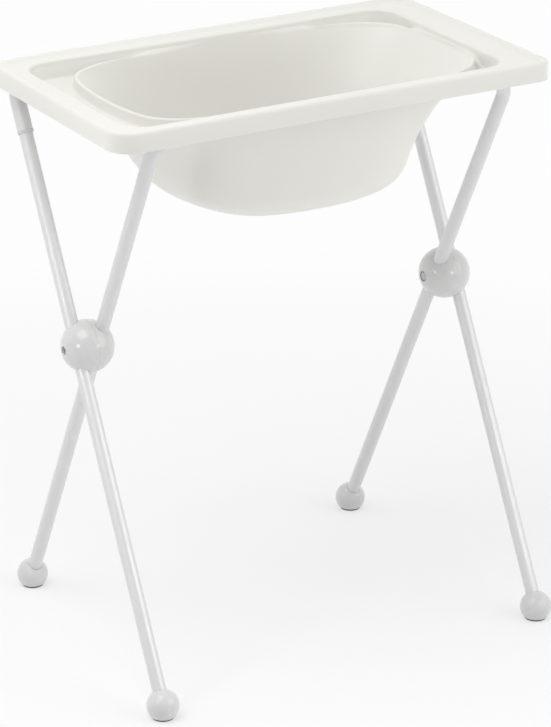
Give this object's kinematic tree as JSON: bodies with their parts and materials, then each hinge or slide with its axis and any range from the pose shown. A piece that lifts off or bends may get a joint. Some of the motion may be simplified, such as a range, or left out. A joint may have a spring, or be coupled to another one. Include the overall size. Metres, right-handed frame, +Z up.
{
  "type": "baby bath stand",
  "caption": "Rectangular baby bath tub with a moulded bowl, resting on a folding X-leg tube stand with ball-shaped hubs and feet.",
  "frame": {"origin": "on the floor under the middle of the tub's rim", "axes": "+X along the tub from its foot end to its head end, +Y from the front crossbar to the rear crossbar, +Z up"},
  "size_m": [0.754, 0.575, 0.923],
  "materials": {
    "tub_plastic": "satin",
    "painted_tube": "satin",
    "grey_plastic": "satin",
    "zinc_steel": "satin",
    "pad_rubber": "matte"
  },
  "bodies": {
    "outer_frame": {"outer_crossbar": "painted_tube", "outer_left_leg": "painted_tube", "outer_right_leg": "painted_tube", "left_sleeve_collar": "grey_plastic", "right_sleeve_collar": "grey_plastic", "left_snap_button": "zinc_steel", "right_snap_button": "zinc_steel", "left_hub_outer_half": "grey_plastic", "right_hub_outer_half": "grey_plastic", "left_pivot_bolt": "zinc_steel", "right_pivot_bolt": "zinc_steel", "left_pivot_nut": "zinc_steel", "right_pivot_nut": "zinc_steel", "left_pivot_washer": "zinc_steel", "right_pivot_washer": "zinc_steel", "outer_left_foot": "grey_plastic", "outer_right_foot": "grey_plastic", "outer_left_pad": "pad_rubber", "outer_right_pad": "pad_rubber"},
    "inner_frame": {"inner_frame_tube": "painted_tube", "left_hub_inner_half": "grey_plastic", "right_hub_inner_half": "grey_plastic", "inner_left_foot": "grey_plastic", "inner_right_foot": "grey_plastic", "inner_left_pad": "pad_rubber", "inner_right_pad": "pad_rubber"},
    "tub": {"bath_tub": "tub_plastic"}
  },
  "joints": [
    {"name": "tub_lift", "type": "slide", "parent": "outer_frame", "child": "tub", "axis": [0, 0.1736, 0.9848], "range_m": [0, 1]},
    {"name": "frame_fold", "type": "hinge", "parent": "outer_frame", "child": "inner_frame", "pos_m": [0, 0, 0.517], "axis": [-1, 0, 0], "range_deg": [0, 50.6]}
  ],
  "couplings": [
    {"joint": "frame_fold", "follows": "tub_lift", "rad_per_m": 0.883}
  ]
}
